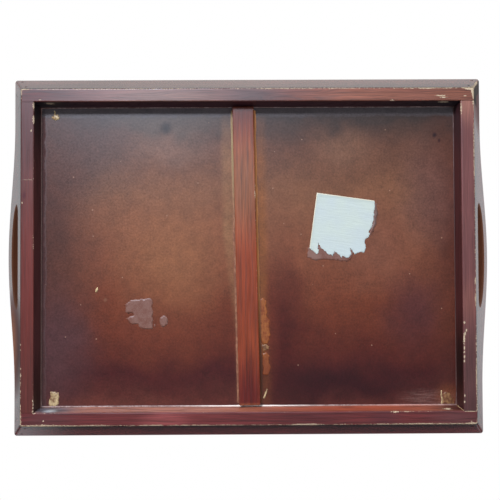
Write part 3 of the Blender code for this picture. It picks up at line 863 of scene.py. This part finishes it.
first_drip_seed = 30
drips = (
    ("glue_drip_front_left", pale_glue, 0.9, 1.6, 0.10,
     [(-188.9, -142.8), (-187.9, -142.4), (-187.6, -139.2), (-186.6, -137.6), (-185.8, -139.2),
      (-184.8, -138.6), (-184.2, -137.0), (-183.2, -135.6), (-184.6, -133.8), (-187.4, -132.8),
      (-190.2, -134.0), (-191.4, -136.6), (-190.0, -137.4), (-189.0, -139.0)]),
    ("glue_smear_back_left", tan_glue, 0.4, 1.2, 0.14,
     [(-192.4, 131), (-189, 130.4), (-186, 131.4), (-184, 131.2), (-183.8, 137), (-184.6, 143.4),
      (-187, 144.6), (-190, 144.0), (-192.6, 144.8), (-193, 138)]),
    ("glue_smear_back_right", thin_glue, 0.12, 1.6, 0.16,
     [(188.6, 134.0), (191.6, 132.6), (194.8, 134.0), (196.2, 137.6), (198.6, 141.0), (199.6, 144.8),
      (193.2, 144.6), (190.4, 142.6), (188.8, 144.2), (188.4, 139.2)]),
    ("glue_run_back_right", tan_glue, 0.5, 0.8, 0.12,
     [(185.8, 131.4), (187.2, 131.0), (187.6, 135.2), (188.2, 139.0), (187.8, 144.6), (186.2, 144.8),
      (186.6, 140.0), (185.6, 136.0)]),
    ("glue_chip_left_bay", pale_glue, 0.6, 1.0, 0.10,
     [(-146.4, 29.4), (-145.8, 31.6), (-146.8, 34.4), (-148.4, 35.6), (-148.8, 33.6), (-147.8, 30.6)]),
    ("glue_spill_by_batten", amber_glue, 0.12, 1.4, 0.12,
     [(11.2, 42.6), (13.4, 40.6), (17.6, 43.4), (16.4, 48.0), (18.4, 53.0), (17.4, 58.6), (20.8, 63.6),
      (20.0, 70.0), (21.2, 76.4), (19.6, 82.0), (18.4, 84.6), (12.8, 84.6), (11.6, 66)]),
    ("glue_spill_behind", amber_glue, 0.12, 1.2, 0.14,
     [(12.8, 94.6), (18.0, 93.8), (20.6, 97.0), (19.2, 103.6), (20.8, 109.4), (17.8, 115.6),
      (13.2, 114.6)]),
    ("glue_fleck_by_batten", thin_glue, 0.12, 0.8, 0.18,
     [(12.8, 86.0), (17.0, 85.6), (20.2, 87.8), (19.2, 91.2), (14.2, 92.4)]),
    ("glue_streak_by_batten", tan_glue, 0.15, 0.8, 0.10,
     [(13.4, 137.6), (15.8, 131.8), (17.4, 128.6), (18.4, 129.4), (16.8, 133.8), (14.8, 138.4)]),
)
for place, (name, material, thickness, rounding, ragged_by, outline) in enumerate(drips):
    ragged = torn(outline, 0, ragged_by, first_drip_seed + place, rounds=2)
    film(name, ragged, 0.8, domed(thickness, rounding), lambda place, far: glued_gap, material)


def tube_faces(size, rings, closed):
    """The faces of a tube of rings, each of so many points, with flat ends where it has ends."""
    faces = []
    for ring in range(rings if closed else rings - 1):
        here, there = ring * size, (ring + 1) % rings * size
        faces += [(here + i, here + (i + 1) % size, there + (i + 1) % size, there + i) for i in range(size)]
    if not closed:
        faces += [tuple(range(size))[::-1], tuple((rings - 1) * size + i for i in range(size))]
    return faces


def glue_bead(name, path, closed, reach_of, material):
    """A fillet in the corner between the panel and an upright face.

    The path is (place, direction away from the upright) in millimetres, and reach_of gives the
    fillet's width at each place.
    """
    profile = [(-0.25, 0.02), (1.0, 0.02), (0.62, 0.16), (0.28, 0.42), (0.04, 0.85), (-0.25, 0.85)]
    points = []
    for spot, away in path:
        reach = reach_of(spot)
        for out, down in profile:
            place = spot + away * out * reach
            points.append((place.x * mm, place.y * mm, (panel_under - down * reach) * mm))
    made = mesh_object(name, points, tube_faces(len(profile), len(path), closed), material)
    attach(made, "root")


foot_draft = 2.3
inside_half_length = foot_half_length - board_run - foot_draft
inside_half_depth = foot_half_depth - board_run - foot_draft
bead_step = 1.5
seam_width = 0.6
seam_unevenness = 0.15
seam_wider_behind = 0.45
seam_back = 140

seam = []
for start, direction, length in (((-1, -1), (1, 0), inside_half_length),
                                 ((1, -1), (0, 1), inside_half_depth),
                                 ((1, 1), (-1, 0), inside_half_length),
                                 ((-1, 1), (0, -1), inside_half_depth)):
    corner = Vector((start[0] * inside_half_length, start[1] * inside_half_depth))
    steps = int(2 * length / bead_step)
    for step in range(steps):
        share = step / steps
        along = Vector(direction)
        away = Vector((-along.y, along.x))
        if step == 0:
            away = Vector((-start[0], -start[1]))
        seam.append((corner + along * 2 * length * share, away))


def seam_reach(spot):
    """The bead is thin and slightly uneven, and wider along the back board."""
    uneven = noise.noise(Vector((spot.x, spot.y, 0)) * 0.12)
    return seam_width + seam_unevenness * uneven + (seam_wider_behind if spot.y > seam_back else 0)


glue_bead("glue_bead_round_panel", seam, True, seam_reach, seam_glue)

batten_end = 143
fillet_width = 1.9
fillet_unevenness = 0.5
fillet_wider_right = 0.4


def fillet_reach_of(side):
    """The fillets are wide and uneven, and the right one is the wider."""
    def reach(spot):
        uneven = noise.noise(Vector((spot.x, spot.y, 5)) * 0.07)
        return fillet_width + fillet_unevenness * uneven + fillet_wider_right * side
    return reach


for side, name in ((-1, "glue_fillet_left_of_batten"), (1, "glue_fillet_right_of_batten")):
    fillet = []
    steps = int(2 * (batten_end - 1) / bead_step)
    for step in range(steps + 1):
        level = -batten_end + 1 + step * 2 * (batten_end - 1) / steps
        middle = batten_middle + batten_slope * level
        fillet.append((Vector((middle + side * (batten_half_width + 0.1), level)), Vector((side, 0))))
    if side > 0:
        fillet.reverse()
    glue_bead(name, fillet, False, fillet_reach_of(side), fillet_glue)

# A thread of glue squeezed out of the joint between the back board and the right end board
thread_radius = 0.35
thread_from = Vector((201.0, 145.0, 14.4))
thread_to = Vector((203.3, 147.3, 0.6))
thread_turn = (thread_to - thread_from).to_track_quat("Z", "Y")
thread_sides = 6
thread_rings = 9
points = []
for ring in range(thread_rings):
    middle = thread_from.lerp(thread_to, ring / (thread_rings - 1))
    width = thread_radius * (0.75 + 0.5 * noise.noise(middle * 0.5))
    points += [(middle + thread_turn @ Vector((width * math.cos(turn), width * math.sin(turn), 0))) * mm
               for turn in (i * math.tau / thread_sides for i in range(thread_sides))]
thread_faces = tube_faces(thread_sides, thread_rings, False)
thread = mesh_object("glue_thread_back_right", points, thread_faces, pale_glue)
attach(thread, "root")


# Brads: steel wire nails with small heads, punched just below the boards' faces and gone dull brown.
brad_finish, add = new_material("rusted_steel_wire")
point, (x, y, z) = position_mm(add)
rust = add("MapRange", add("TexNoise", point, into={"Scale": 1.2, "Detail": 3.0}), 0.4, 0.6, 0, 1)
steel = add("Mix", into={0: rust, 6: srgb("6a625c"), 7: srgb("4a2c20")}, **colours)
worn_gloss = add("Mix", into={0: rust, 2: 0.38, 3: 0.8})
metal_share = add("Mix", into={0: rust, 2: 1.0, 3: 0.2})
add("OutputMaterial", add("BsdfPrincipled", steel, into={"Roughness": worn_gloss, "Metallic": metal_share}))
for node_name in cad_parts:
    if node_name.endswith("_brad"):
        finish_solid(node_name, brad_finish)
